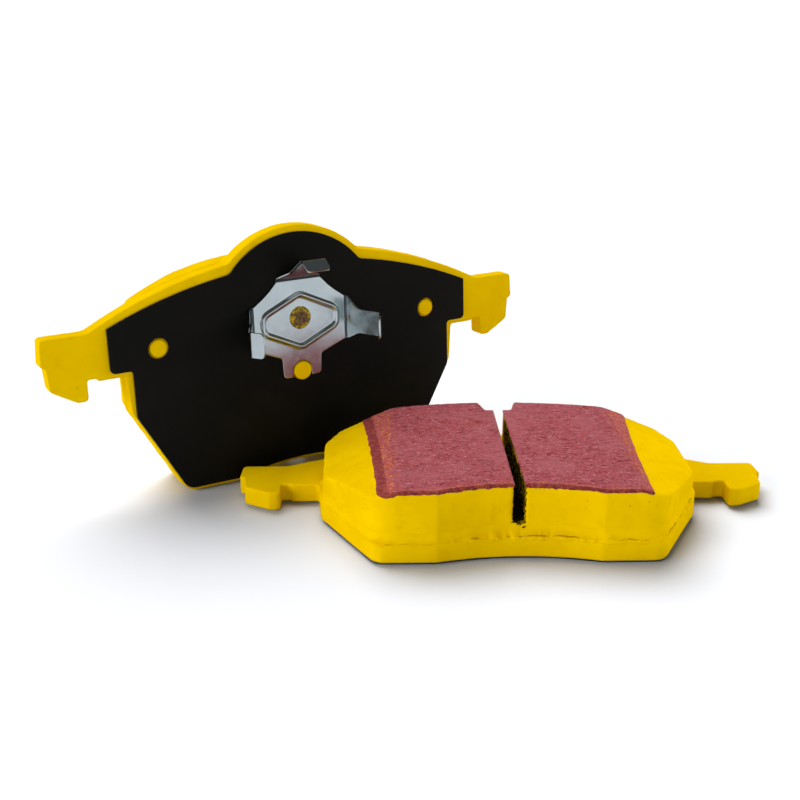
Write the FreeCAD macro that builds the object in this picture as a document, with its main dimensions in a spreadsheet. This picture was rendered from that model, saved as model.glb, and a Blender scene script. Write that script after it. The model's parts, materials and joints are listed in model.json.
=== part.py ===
import FreeCAD, Part
import math
import os
import Sketcher
from FreeCAD import Placement, Rotation, Vector

# A pair of disc brake pads for one floating caliper, millimetres, +Z up.
# The outboard pad lies on its back. The inboard pad, which carries the piston
# clip, stands on its lower edge behind it and leans back on its friction block.
# Each pad is built in a pad frame: x along its length, y from its lower edge up
# to its crown, z from the outer face of the shim towards the friction face.
# The origin is the middle of the pair's footprint, on the surface they stand on.

DIMENSIONS = [
    # backing plate
    ("plate_thickness", 5.4), ("half_length", 78.2), ("crown_height", 76.6),
    ("main_radius", 135.0), ("main_centre", -66.1), ("hump_radius", 28.9),
    ("hump_blend", 2.5), ("foot_inner", 22.3), ("foot_outer", 38.8),
    ("foot_round", 5.0), ("foot_arch", 3.1), ("waist_x", 53.7), ("waist_y", 27.1), ("waist_round", 3.0),
    ("armpit_x", 54.5), ("ear_under", 38.5), ("ear_top", 52.5), ("ear_blend", 4.0),
    ("hook_inner", 65.65), ("hook_foot", 33.1), ("hook_toe", 68.8), ("hook_round", 1.3),
    ("hook_slope_y", 37.4), ("hook_outer", 76.8), ("step_low", 44.0),
    ("step_high", 45.0), ("relief_top", 39.3), ("relief_start", 62.3),
    ("pip_x", 44.5), ("pip_y", 45.5), ("pip_radius", 2.65), ("pip_height", 0.7),
    ("key_x", 21.0), ("key_y", 30.0), ("key_radius", 6.0), ("key_gap", 0.05),
    # friction material
    ("stack_height", 20.4), ("underlayer", 1.5), ("coat", 0.6),
    ("block_inset", 0.96), ("block_centre", -58.8), ("block_radius", 126.0),
    ("block_end", 52.9), ("block_end_low", 27.4), ("block_end_high", 50.6),
    ("block_corner_x", 48.3), ("block_foot", 38.3), ("block_round", 9.5),
    ("block_arch", 4.2),
    ("ramp_start", 32.4), ("ramp_drop", 6.4), ("slot_width", 3.1),
    ("slot_depth", 10.5), ("notch_mouth", 5.9), ("notch_floor", 3.9),
    ("notch_y", 60.6), ("coat_left_far", 41.6), ("coat_left_near", 38.1),
    ("coat_right_far", 39.2), ("coat_right_near", 35.2),
    # shim
    ("rubber_skin", 0.25), ("steel_core", 0.5), ("adhesive", 0.15),
    ("shim_radius", 145.0), ("shim_centre", -79.3), ("shim_hump_inset", 2.0), ("shim_ear_x", 59.0),
    ("shim_ear_y", 40.0), ("shim_wall_x", 52.5), ("shim_foot_y", 1.0),
    ("shim_slant_inset", 0.5), ("shim_hole", 3.1),
    # piston clip
    ("sheet", 0.7), ("clip_y", 45.5), ("shoulder_x", 11.7), ("shoulder_y", 55.9),
    ("neck_x", 9.6), ("neck_y", 57.7), ("root_x", 15.0), ("root_low", 40.0),
    ("root_high", 53.5), ("root_top", 60.3), ("root_top_half", 7.2),
    ("bend_radius", 0.8), ("seam", 0.3), ("finger_half", 4.0),
    ("side_reach", 21.4), ("top_reach", 68.1), ("grip_height", 12.6),
    ("lead_height", 3.9), ("lead_back", 2.7), ("bead_half_x", 12.2),
    ("bead_half_y", 8.3), ("bead_end", 2.6), ("bead_round", 3.0), ("bead_y", 47.7),
    ("bead_width", 1.7), ("bead_height", 0.7), ("rivet_y", 48.6), ("rivet_head", 3.5),
    ("rivet_rise", 0.9), ("rivet_shank", 2.0), ("rivet_tail", 3.2),
    ("boss_y", 32.0), ("boss_radius", 2.85), ("boss_rise", 0.5),
    ("fork_half", 6.4), ("fork_foot", 30.2), ("fork_gap", 3.15),
    # layout of the pair
    ("stand_x", -59.2), ("stand_y", 64.8), ("stand_turn", 27.55),
    ("centre_x", -27.305), ("centre_y", 54.655),
]

doc = FreeCAD.newDocument("BrakePadPair")
sheet = doc.addObject("Spreadsheet::Sheet", "Dims")
for row, (alias, value) in enumerate(DIMENSIONS, 1):
    sheet.set("A%d" % row, alias)
    sheet.set("B%d" % row, str(value))
    sheet.setAlias("B%d" % row, alias)
doc.recompute()

SUBPARTS = []


def dim(alias):
    """A driving dimension, read from the sheet."""
    return float(sheet.get(alias))


SHIM = "Dims.rubber_skin + Dims.steel_core + Dims.adhesive"
PLATE_FRONT = SHIM + " + Dims.plate_thickness"
shim_thickness = dim("rubber_skin") + dim("steel_core") + dim("adhesive")
plate_front = shim_thickness + dim("plate_thickness")
block_top = shim_thickness + dim("stack_height") - dim("coat")


# ---------------------------------------------------------------- outlines
# A piece of an outline is (kind, start, end, centre, turns_left).

def line(start, end):
    return ("line", start, end, None, True)


def arc(start, end, centre, left=True):
    return ("arc", start, end, centre, left)


def unit(start, end):
    length = math.hypot(end[0] - start[0], end[1] - start[1])
    return ((end[0] - start[0]) / length, (end[1] - start[1]) / length)


def chain(corners):
    """Straight runs through (x, y, radius) corners, each inner one rounded."""
    pieces = []
    start = corners[0][:2]
    for before, corner, after in zip(corners, corners[1:], corners[2:]):
        come, leave = unit(before, corner), unit(corner, after)
        cross = come[0] * leave[1] - come[1] * leave[0]
        turn = math.atan2(cross, come[0] * leave[0] + come[1] * leave[1])
        reach = corner[2] * math.tan(abs(turn) / 2)
        first = (corner[0] - come[0] * reach, corner[1] - come[1] * reach)
        last = (corner[0] + leave[0] * reach, corner[1] + leave[1] * reach)
        side = math.copysign(corner[2], turn)
        centre = (first[0] - come[1] * side, first[1] + come[0] * side)
        pieces += [line(start, first), arc(first, last, centre, turn > 0)]
        start = last
    return pieces + [line(start, corners[-1][:2])]


def mirrored(pieces):
    """The same run of pieces on the other side of x = 0, in running order."""
    def flip(point):
        return None if point is None else (-point[0], point[1])
    return [(kind, flip(end), flip(start), flip(centre), left)
            for kind, start, end, centre, left in reversed(pieces)]


def arch_centre(half, rise, floor):
    """Centre of the shallow arch that rises between two feet."""
    radius = (half * half + rise * rise) / (2 * rise)
    return (0.0, floor + rise - radius)


def towards(centre, point, radius):
    way = unit(centre, point)
    return (centre[0] + way[0] * radius, centre[1] + way[1] * radius)


def crown(side, main_radius, main_centre, hump_radius):
    """Closes a right side run with the main arc, hump and mirrored left side."""
    main = (0.0, main_centre)
    hump = (0.0, dim("crown_height") - dim("hump_radius"))
    blend = dim("hump_blend")
    outer, inner = main_radius + blend, hump_radius + blend
    y = (outer ** 2 - inner ** 2 + hump[1] ** 2 - main[1] ** 2) / (2 * (hump[1] - main[1]))
    middle = (math.sqrt(outer ** 2 - (y - main[1]) ** 2), y)
    low, high = towards(main, middle, main_radius), towards(hump, middle, hump_radius)
    side = side + [arc(side[-1][2], low, main), arc(low, high, middle, False)]
    return side + [arc(high, (-high[0], high[1]), hump)] + mirrored(side)


def plate_outline():
    foot, end = dim("foot_inner"), dim("hook_inner")
    side = chain([
        (foot, 0.0, 0.0), (dim("foot_outer"), 0.0, dim("foot_round")),
        (dim("waist_x"), dim("waist_y"), dim("waist_round")), (dim("armpit_x"), dim("ear_under"), 1.0),
        (dim("relief_start"), dim("ear_under"), 0.8),
        (dim("relief_start") + 0.8, dim("relief_top"), 0.6), (end, dim("relief_top"), 0.8),
        (end, dim("hook_foot"), dim("hook_round")), (dim("hook_toe"), dim("hook_foot"), 1.0),
        (dim("hook_outer") - 0.6, dim("hook_slope_y"), 1.6),
        (dim("hook_outer"), dim("step_low"), 0.4),
        (dim("half_length"), dim("step_high"), 0.6),
        (dim("half_length") - 0.5, dim("ear_top"), 1.3), (foot * 3, dim("ear_top"), 0.0)])
    main = (0.0, dim("main_centre"))
    top, blend = dim("ear_top"), dim("ear_blend")
    reach = dim("main_radius") + blend
    middle = (math.sqrt(reach ** 2 - (top + blend - main[1]) ** 2), top + blend)
    side[-1] = line(side[-1][1], (middle[0], top))
    side.append(arc((middle[0], top), towards(main, middle, dim("main_radius")), middle, False))
    arch = arc((-foot, 0.0), (foot, 0.0), arch_centre(foot, dim("foot_arch"), 0.0), False)
    return [arch] + crown(side, dim("main_radius"), dim("main_centre"), dim("hump_radius"))


def shim_outline():
    foot, floor = dim("foot_inner"), dim("shim_foot_y")
    radius, centre = dim("shim_radius"), dim("shim_centre")
    slope = (dim("waist_x") - dim("foot_outer")) / dim("waist_y")
    low = dim("foot_outer") - dim("shim_slant_inset") + slope * floor
    wall = dim("shim_wall_x")
    bend_y = floor + (wall - low) / slope
    ear = dim("shim_ear_x")
    top = centre + math.sqrt(radius ** 2 - ear ** 2)
    side = chain([
        (foot, floor, 0.0), (low, floor, 4.0), (wall, bend_y, 3.0),
        (wall, dim("shim_ear_y"), 1.0), (ear, dim("shim_ear_y"), 1.5), (ear, top, 0.0)])
    arch = arc((-foot, floor), (foot, floor), arch_centre(foot, dim("foot_arch"), floor), False)
    return [arch] + crown(side, radius, centre, dim("hump_radius") - dim("shim_hump_inset"))


def block_side():
    """Right side of the friction block, from its foot to its top corner."""
    centre, radius = dim("block_centre"), dim("block_radius")
    corner = dim("block_corner_x")
    corner_y = centre + math.sqrt(radius ** 2 - corner ** 2)
    return chain([
        (dim("foot_inner"), dim("block_inset"), 0.0),
        (dim("block_foot"), dim("block_inset"), dim("block_round")),
        (dim("block_end"), dim("block_end_low"), 2.5),
        (dim("block_end"), dim("block_end_high"), 2.5), (corner, corner_y, 0.0)])


def block_outline():
    foot, low = dim("foot_inner"), dim("block_inset")
    side = block_side()
    corner = side[-1][2]
    top = arc(corner, (-corner[0], corner[1]), (0.0, dim("block_centre")))
    arch = arc((-foot, low), (foot, low), arch_centre(foot, dim("block_arch"), low), False)
    return [arch] + side + [top] + mirrored(side)


def polygon(points):
    return [line(start, end) for start, end in zip(points, points[1:] + points[:1])]


def box_outline(x_low, x_high, y_low, y_high):
    return polygon([(x_low, y_low), (x_high, y_low), (x_high, y_high), (x_low, y_high)])


def strip_outline(start, heading, steps, half):
    """Outline of a bent strip: steps are (length, None) or (radius, turn)."""
    near, far = [], []
    point = start
    for size, turn in steps:
        side = (-math.sin(heading), math.cos(heading))
        if turn is None:
            ends = (point, (point[0] + size * math.cos(heading), point[1] + size * math.sin(heading)))
            centre = None
        else:
            bend = math.copysign(size, turn)
            centre = (point[0] + side[0] * bend, point[1] + side[1] * bend)
            leave = heading + turn
            ends = (point, (centre[0] + bend * math.sin(leave), centre[1] - bend * math.cos(leave)))
        turned = heading + (turn or 0.0)
        for run, sign in ((near, -half), (far, half)):
            first = (ends[0][0] + side[0] * sign, ends[0][1] + side[1] * sign)
            last = (ends[1][0] - math.sin(turned) * sign, ends[1][1] + math.cos(turned) * sign)
            run.append(line(first, last) if centre is None else arc(first, last, centre, turn > 0))
        point, heading = ends[1], turned
    back = [(kind, end, begin, centre, not left)
            for kind, begin, end, centre, left in reversed(far)]
    return near + [line(near[-1][2], back[0][1])] + back + [line(back[-1][2], near[0][1])]


# ------------------------------------------------------------ body features

def new_body(name, placement):
    body = doc.addObject("PartDesign::Body", name)
    body.Label = name
    body.Placement = placement
    SUBPARTS.append(body)
    return body


def new_sketch(body, role, height=None):
    """A sketch on one of the body's own origin planes, raised by an expression."""
    plane = [one for one in body.Origin.OriginFeatures if one.Role == role][0]
    sketch = body.newObject("Sketcher::SketchObject", body.Name + "_sketch")
    sketch.AttachmentSupport = [(plane, "")]
    sketch.MapMode = "FlatFace"
    if height:
        sketch.setExpression("AttachmentOffset.Base.z", height)
    return sketch


def draw(sketch, pieces):
    """Adds a closed outline, its neighbours joined end to end."""
    ends = []
    for kind, start, end, centre, left in pieces:
        if kind == "line":
            shape = Part.LineSegment(Vector(start[0], start[1], 0), Vector(end[0], end[1], 0))
        else:
            first, last = (start, end) if left else (end, start)
            radius = math.hypot(start[0] - centre[0], start[1] - centre[1])
            angle = math.atan2(first[1] - centre[1], first[0] - centre[0])
            stop = math.atan2(last[1] - centre[1], last[0] - centre[0])
            if stop < angle:
                stop += 2 * math.pi
            circle = Part.Circle(Vector(centre[0], centre[1], 0), Vector(0, 0, 1), radius)
            shape = Part.ArcOfCircle(circle, angle, stop)
        index = sketch.addGeometry(shape, False)
        ends.append((index, 1, 2) if left or kind == "line" else (index, 2, 1))
    for this, after in zip(ends, ends[1:] + ends[:1]):
        sketch.addConstraint(Sketcher.Constraint("Coincident", this[0], this[2], after[0], after[1]))


def draw_circle(sketch, x, y, radius_name, x_sign=1):
    """Adds a circle whose centre and radius follow cells of the sheet."""
    place = Vector(x_sign * dim(x) if x else 0.0, dim(y), 0)
    index = sketch.addGeometry(Part.Circle(place, Vector(0, 0, 1), dim(radius_name)), False)
    rules = [("Radius", (index, dim(radius_name)), "Dims." + radius_name),
             ("DistanceY", (-1, 1, index, 3, dim(y)), "Dims." + y)]
    if x:
        rules.append(("DistanceX", (-1, 1, index, 3, place.x), "%d * Dims.%s" % (x_sign, x)))
    else:
        sketch.addConstraint(Sketcher.Constraint("PointOnObject", index, 3, -2))
    for kind, where, formula in rules:
        number = sketch.addConstraint(Sketcher.Constraint(kind, *where))
        sketch.setExpression("Constraints[%d]" % number, formula)


def pad(body, sketch, length, name="pad", reverse=False, both=False):
    feature = body.newObject("PartDesign::Pad", body.Name + "_" + name)
    feature.Profile = sketch
    feature.setExpression("Length", length)
    feature.Reversed = reverse
    feature.Midplane = both
    doc.recompute()
    return feature


def pocket(body, sketch, length, name="pocket", reverse=False, both=False):
    """Cuts the sketch out of the body, and makes sure that something was cut."""
    before = body.Shape.Volume
    feature = body.newObject("PartDesign::Pocket", body.Name + "_" + name)
    feature.Profile = sketch
    feature.setExpression("Length", length)
    feature.Reversed = reverse
    feature.Midplane = both
    doc.recompute()
    if not body.Shape.Volume < before - 1e-6:
        raise RuntimeError("%s cuts nothing" % feature.Name)
    return feature


# ------------------------------------------------------------ the two pads

def backing_plate(prefix, placement, clipped):
    """Stamped steel plate: hooked ears, hump, keying holes and semi-pierced pips."""
    body = new_body(prefix + "_backing_plate", placement)
    outline = new_sketch(body, "XY_Plane", SHIM)
    draw(outline, plate_outline())
    pad(body, outline, "Dims.plate_thickness", "blank")
    keys = new_sketch(body, "XY_Plane", SHIM)
    for side in (1, -1):
        draw_circle(keys, "key_x", "key_y", "key_radius", side)
    pocket(body, keys, "Dims.plate_thickness", "keying_holes", reverse=True)
    pips = new_sketch(body, "XY_Plane", SHIM)
    for side in (1, -1):
        draw_circle(pips, "pip_x", "pip_y", "pip_radius", side)
    pad(body, pips, "Dims.pip_height", "pips", reverse=True)
    dents = new_sketch(body, "XY_Plane", PLATE_FRONT)
    for side in (1, -1):
        draw_circle(dents, "pip_x", "pip_y", "pip_radius", side)
    pocket(body, dents, "Dims.pip_height", "pip_dents")
    if clipped:
        boss = new_sketch(body, "XY_Plane", SHIM)
        draw_circle(boss, None, "boss_y", "boss_radius")
        pad(body, boss, SHIM + " + Dims.sheet + Dims.boss_rise", "boss", reverse=True)
        bore = new_sketch(body, "XY_Plane", SHIM)
        draw_circle(bore, None, "rivet_y", "rivet_shank")
        pocket(body, bore, "Dims.plate_thickness", "rivet_hole", reverse=True)
        seat = new_sketch(body, "XY_Plane", PLATE_FRONT)
        draw_circle(seat, None, "rivet_y", "rivet_tail")
        pocket(body, seat, "Dims.rivet_rise", "rivet_seat")
    return body


def shim_layer(name, placement, low, thickness, clipped):
    """One layer of the noise shim, with clearance round the plate's pips."""
    body = new_body(name, placement)
    sketch = new_sketch(body, "XY_Plane", low)
    draw(sketch, shim_outline())
    for side in (1, -1):
        draw_circle(sketch, "pip_x", "pip_y", "shim_hole", side)
    if clipped:
        draw_circle(sketch, None, "boss_y", "fork_gap")
        draw_circle(sketch, None, "rivet_y", "rivet_shank")
    pad(body, sketch, thickness)
    return body


def underlayer(prefix, placement):
    """Bonding layer moulded on the plate, keyed into its holes and dents."""
    body = new_body(prefix + "_underlayer", placement)
    sketch = new_sketch(body, "XY_Plane", PLATE_FRONT)
    draw(sketch, block_outline())
    pad(body, sketch, "Dims.underlayer", "layer")
    sheet_gap = dim("key_radius") - dim("key_gap")
    keys = new_sketch(body, "XY_Plane", PLATE_FRONT)
    for side in (1, -1):
        place = Vector(side * dim("key_x"), dim("key_y"), 0)
        index = keys.addGeometry(Part.Circle(place, Vector(0, 0, 1), sheet_gap), False)
        number = keys.addConstraint(Sketcher.Constraint("Radius", index, sheet_gap))
        keys.setExpression("Constraints[%d]" % number, "Dims.key_radius - Dims.key_gap")
    pad(body, keys, "Dims.plate_thickness", "keys", reverse=True)
    dents = new_sketch(body, "XY_Plane", PLATE_FRONT)
    for side in (1, -1):
        draw_circle(dents, "pip_x", "pip_y", "pip_radius", side)
    pad(body, dents, "Dims.pip_height", "dent_fill", reverse=True)
    notch(body, SHIM + " + Dims.stack_height")
    return body


def notch(body, height):
    """The tapered notch in the block's upper edge, at the head of the slot."""
    far = dim("block_centre") + dim("block_radius") + 5.0
    reach = far - dim("notch_y")
    flare = (dim("notch_mouth") - dim("notch_floor")) * reach / 5.9
    sketch = new_sketch(body, "XY_Plane", height)
    mouth = dim("notch_floor") + flare
    draw(sketch, chain([(0.0, dim("notch_y"), 0.0), (dim("notch_floor"), dim("notch_y"), 1.0),
                        (mouth, far, 0.0)])
         + [line((mouth, far), (-mouth, far))]
         + mirrored(chain([(0.0, dim("notch_y"), 0.0), (dim("notch_floor"), dim("notch_y"), 1.0),
                           (mouth, far, 0.0)])))
    pocket(body, sketch, "Dims.stack_height", "notch")


def friction_block(prefix, placement):
    """Friction block, split by a slot and ramped down at both ends."""
    body = new_body(prefix + "_friction_block", placement)
    sketch = new_sketch(body, "XY_Plane", PLATE_FRONT + " + Dims.underlayer")
    draw(sketch, block_outline())
    pad(body, sketch, "Dims.stack_height - Dims.plate_thickness - Dims.underlayer - Dims.coat", "block")
    ramps = new_sketch(body, "XZ_Plane")
    slope = dim("ramp_drop") / (dim("block_end") - dim("ramp_start"))
    far = dim("block_end") + 2.0
    fall = block_top - slope * (far - dim("ramp_start"))
    for side in (1, -1):
        draw(ramps, polygon([(side * dim("ramp_start"), block_top), (side * far, fall),
                             (side * far, block_top + 1.0), (side * dim("ramp_start"), block_top + 1.0)]))
    pocket(body, ramps, "4 * Dims.half_length", "ramps", both=True)
    slot = new_sketch(body, "XZ_Plane")
    half = dim("slot_width") / 2
    floor = block_top + dim("coat") - dim("slot_depth")
    draw(slot, box_outline(-half, half, floor, block_top + 1.0))
    pocket(body, slot, "4 * Dims.half_length", "slot", both=True)
    notch(body, SHIM + " + Dims.stack_height")
    return body


def bedding_coat(prefix, side_name, side, placement):
    """Abrasive bedding coat on one half of the friction face and its ramp."""
    body = new_body("%s_bedding_coat_%s" % (prefix, side_name), placement)
    far_x = dim("coat_%s_far" % side_name)
    near_x = dim("coat_%s_near" % side_name)
    slope = dim("ramp_drop") / (dim("block_end") - dim("ramp_start"))
    drop = slope * (far_x - dim("ramp_start"))
    skin = dim("coat")
    half = dim("slot_width") / 2
    layer = new_sketch(body, "XZ_Plane")
    draw(layer, polygon([
        (side * half, block_top), (side * dim("ramp_start"), block_top),
        (side * far_x, block_top - drop), (side * far_x, block_top - drop + skin),
        (side * dim("ramp_start"), block_top + skin), (side * half, block_top + skin)]))
    pad(body, layer, "4 * Dims.half_length", "layer", both=True)
    trim = new_sketch(body, "XY_Plane", SHIM + " + Dims.stack_height + Dims.coat")
    draw(trim, box_outline(-90.0, 90.0, -200.0, 200.0))
    draw(trim, coat_outline(side, far_x, near_x))
    pocket(body, trim, "Dims.stack_height", "trim")
    return body


def coat_outline(side, far_x, near_x):
    """Plan of one coat: arch, foot, block's rounded corner, end line, upper arc."""
    centre = (0.0, dim("block_centre"))
    radius, low = dim("block_radius"), dim("block_inset")
    half = dim("slot_width") / 2
    foot = dim("foot_inner")
    arch = arch_centre(foot, dim("block_arch"), low)
    arch_radius = math.hypot(foot, low - arch[1])
    rise = arch[1] + math.sqrt(arch_radius ** 2 - half ** 2)

    def on_arc(x):
        return (x, centre[1] + math.sqrt(radius ** 2 - x ** 2))
    mouth = on_arc(dim("notch_mouth"))
    far = on_arc(far_x)
    bend = dim("block_round")
    turn = math.atan2(dim("block_end_low") - low, dim("block_end") - dim("block_foot"))
    middle = (dim("block_foot") - bend * math.tan(turn / 2), low + bend)
    near = (near_x, middle[1] - math.sqrt(bend ** 2 - (near_x - middle[0]) ** 2))
    pieces = [
        arc((half, rise), (foot, low), arch, False), line((foot, low), (middle[0], low)),
        arc((middle[0], low), near, middle), line(near, far), arc(far, mouth, centre),
        line(mouth, (dim("notch_floor"), dim("notch_y"))),
        line((dim("notch_floor"), dim("notch_y")), (half, dim("notch_y"))),
        line((half, dim("notch_y")), (half, rise))]
    return pieces if side > 0 else mirrored(pieces)


def build_pad(prefix, placement, clipped):
    backing_plate(prefix, placement, clipped)
    shim_layer(prefix + "_shim_rubber", placement, "0 mm", "Dims.rubber_skin", clipped)
    shim_layer(prefix + "_shim_core", placement, "Dims.rubber_skin", "Dims.steel_core", clipped)
    shim_layer(prefix + "_shim_adhesive", placement, "Dims.rubber_skin + Dims.steel_core",
               "Dims.adhesive", clipped)
    underlayer(prefix, placement)
    friction_block(prefix, placement)
    bedding_coat(prefix, "left", -1, placement)
    bedding_coat(prefix, "right", 1, placement)


# ------------------------------------------------------------ piston clip

def clip_half():
    """Right half of the clip's flat base, from the fork up to the top root."""
    return chain([
        (dim("fork_gap"), dim("fork_foot"), 0.0), (dim("fork_half") - 0.2, dim("fork_foot"), 1.2),
        (dim("fork_half") + 0.2, 36.6, 1.0), (dim("root_x"), dim("root_low"), 0.4),
        (dim("root_x"), dim("root_high"), 0.4), (dim("shoulder_x"), dim("shoulder_y"), 4.0),
        (dim("neck_x"), dim("neck_y"), 4.0),
        (dim("root_top_half"), dim("root_top"), 0.3), (0.0, dim("root_top"), 0.0)])


def clip_base(placement):
    """Flat base of the clip, with its fork, rivet hole and stiffening bead."""
    body = new_body("piston_clip_base", placement)
    sketch = new_sketch(body, "XY_Plane")
    side = clip_half()
    fork, foot = dim("fork_gap"), dim("fork_foot")
    centre = (0.0, dim("boss_y"))
    touch = (fork, dim("boss_y"))
    throat = [line(touch, (fork, foot))]
    loop = arc((-fork, touch[1]), touch, centre, False)
    draw(sketch, [loop] + throat + side + mirrored(side) + mirrored(throat))
    draw_circle(sketch, None, "rivet_y", "rivet_shank")
    pad(body, sketch, "Dims.sheet", "sheet", reverse=True)
    bead = new_sketch(body, "XY_Plane", "-Dims.sheet")
    for grow in (dim("bead_width") / 2, -dim("bead_width") / 2):
        draw(bead, bead_outline(grow))
    pad(body, bead, "Dims.bead_height", "bead", reverse=True)
    return body


def bead_outline(grow):
    """Rhombus with cut-off ends and rounded corners, grown square to its sides."""
    wide, tall, end = dim("bead_half_x"), dim("bead_half_y"), dim("bead_end")
    slope = (tall - end) / wide
    peak = tall + grow * math.hypot(1.0, slope)
    side = wide + grow
    shoulder = peak - side * slope
    plan = [(side, -shoulder), (side, shoulder), (0.0, peak),
            (-side, shoulder), (-side, -shoulder), (0.0, -peak)]
    points = [(x, y + dim("bead_y")) for x, y in plan]
    pieces = []
    for index, point in enumerate(points):
        before, after = points[index - 1], points[(index + 1) % len(points)]
        come = tuple((a + b) / 2 for a, b in zip(before, point))
        leave = tuple((a + b) / 2 for a, b in zip(point, after))
        pieces += chain([come + (0.0,), point + (dim("bead_round") + grow,), leave + (0.0,)])
    return pieces


def finger_profile(root, reach):
    """Side profile of a finger: root bend, leaning blade, grip bend, lead-in."""
    bend = dim("bend_radius") + dim("sheet") / 2
    run = reach - root
    rise = dim("grip_height") - dim("sheet") / 2
    lean = math.atan2(rise, run)
    for _ in range(20):
        used_x, used_y = bend * math.sin(lean), bend * (1 - math.cos(lean))
        lean = math.atan2(rise - used_y, run - used_x)
    blade = math.hypot(run - used_x, rise - used_y)
    lead = math.atan2(dim("lead_height"), -dim("lead_back"))
    grip = 1.6
    cut = grip * math.tan((lead - lean) / 2)
    skip = dim("seam") / bend
    start = (root + bend * math.sin(skip), dim("sheet") / 2 + bend * (1 - math.cos(skip)))
    steps = [(bend, lean - skip), (blade - cut, None), (grip, lead - lean),
             (math.hypot(dim("lead_height"), dim("lead_back")) - cut, None)]
    pieces = strip_outline(start, skip, steps, dim("sheet") / 2)

    def down(point):
        return None if point is None else (point[0], -point[1])
    return [(kind, down(end), down(start_), down(centre), left)
            for kind, start_, end, centre, left in reversed(pieces)]


def finger_plan(root, reach, low, high, middle):
    """The waste outside a finger's waisted plan, as two closed outlines."""
    half = dim("finger_half")
    neck = root + 0.42 * (reach - root)
    bow = root + 0.25 * (reach - root)
    near, far = root + 0.2, reach + 5.0
    upper = polygon([(near, high), (bow, middle + half + 1.1), (neck, middle + half),
                     (far, middle + half), (far, high + 5.0), (near, high + 5.0)])
    lower = polygon([(near, low), (near, low - 5.0), (far, low - 5.0),
                     (far, middle - half), (neck, middle - half)])
    return upper, lower


def side_finger(name, side, placement):
    """Left or right finger, a blade that rises from the base's side root."""
    body = new_body(name, placement)
    profile = new_sketch(body, "XZ_Plane", "-(Dims.root_low + Dims.root_high) / 2")
    pieces = finger_profile(dim("root_x"), dim("side_reach"))
    draw(profile, pieces if side > 0 else mirrored(pieces))
    pad(body, profile, "Dims.root_high - Dims.root_low", "blade", both=True)
    plan = new_sketch(body, "XY_Plane", "Dims.sheet")
    for waste in finger_plan(dim("root_x"), dim("side_reach"), dim("root_low"),
                             dim("root_high"), dim("clip_y")):
        draw(plan, waste if side > 0 else mirrored(waste))
    pocket(body, plan, "Dims.half_length", "plan")
    return body


def top_finger(placement):
    """Top finger, the same blade turned to face the crown."""
    body = new_body("piston_clip_finger_top", placement)
    profile = new_sketch(body, "YZ_Plane")
    draw(profile, finger_profile(dim("root_top"), dim("top_reach")))
    pad(body, profile, "2 * Dims.root_top_half", "blade", both=True)
    plan = new_sketch(body, "XY_Plane", "Dims.sheet")
    half = dim("root_top_half")
    for waste in finger_plan(dim("root_top"), dim("top_reach"), -half, half, 0.0):
        draw(plan, [(kind, start[::-1], end[::-1], None, left)
                    for kind, start, end, _, left in waste])
    pocket(body, plan, "Dims.half_length", "plan")
    return body


def clip_rivet(placement):
    """Rivet through clip, shim and plate: domed head, shank, flush tail."""
    body = new_body("piston_clip_rivet", placement)
    sketch = new_sketch(body, "YZ_Plane")
    middle = dim("rivet_y")
    head, shank, tail = dim("rivet_head"), dim("rivet_shank"), dim("rivet_tail")
    seat = -dim("sheet")
    crest = seat - dim("rivet_rise")
    dome = (head ** 2 + dim("rivet_rise") ** 2) / (2 * dim("rivet_rise"))
    front = plate_front - dim("rivet_rise")
    draw(sketch, [
        arc((middle, crest), (middle + head, seat), (middle, crest + dome)),
        line((middle + head, seat), (middle + shank, seat)),
        line((middle + shank, seat), (middle + shank, front)),
        line((middle + shank, front), (middle + tail, front)),
        line((middle + tail, front), (middle + tail, plate_front)),
        line((middle + tail, plate_front), (middle, plate_front)),
        line((middle, plate_front), (middle, crest))])
    turn = body.newObject("PartDesign::Revolution", "piston_clip_rivet_turned")
    turn.Profile = sketch
    turn.ReferenceAxis = (sketch, ["Edge7"])
    turn.Angle = 360.0
    doc.recompute()
    return body


# ------------------------------------------------------------ the pair

centre = Vector(-dim("centre_x"), -dim("centre_y"), 0)
lying = Placement(centre, Rotation())
lean_angle = math.atan2(dim("block_inset"), dim("stack_height") - dim("plate_thickness"))
lift = plate_front * math.sin(lean_angle)
turned = Rotation(Vector(0, 0, 1), 180 + dim("stand_turn"))
tipped = Rotation(Vector(1, 0, 0), 90 + math.degrees(lean_angle))
standing = Placement(centre + Vector(dim("stand_x"), dim("stand_y"), lift), turned.multiply(tipped))

build_pad("outboard", lying, False)
build_pad("inboard", standing, True)
clip_base(standing)
top_finger(standing)
side_finger("piston_clip_finger_left", 1, standing)
side_finger("piston_clip_finger_right", -1, standing)
clip_rivet(standing)

doc.recompute()
for item in doc.Objects:
    if "Invalid" in item.State or "Error" in item.State:
        raise RuntimeError("%s failed: %s" % (item.Name, item.State))
for body in SUBPARTS:
    if body.Shape.isNull() or not body.Shape.isValid():
        raise RuntimeError("%s has no valid shape" % body.Label)

os.makedirs("parts", exist_ok=True)
for body in SUBPARTS:
    body.Shape.exportStep("parts/%s.step" % body.Label)
    box = body.Shape.BoundBox
    print("%-32s solids %d volume %9.2f  x %.2f..%.2f y %.2f..%.2f z %.2f..%.2f" % (
        body.Label, len(body.Shape.Solids), body.Shape.Volume,
        box.XMin, box.XMax, box.YMin, box.YMax, box.ZMin, box.ZMax))
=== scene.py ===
import json
import math

import bpy
import numpy as np
from mathutils import Matrix, Vector
from mathutils.geometry import delaunay_2d_cdt


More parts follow.
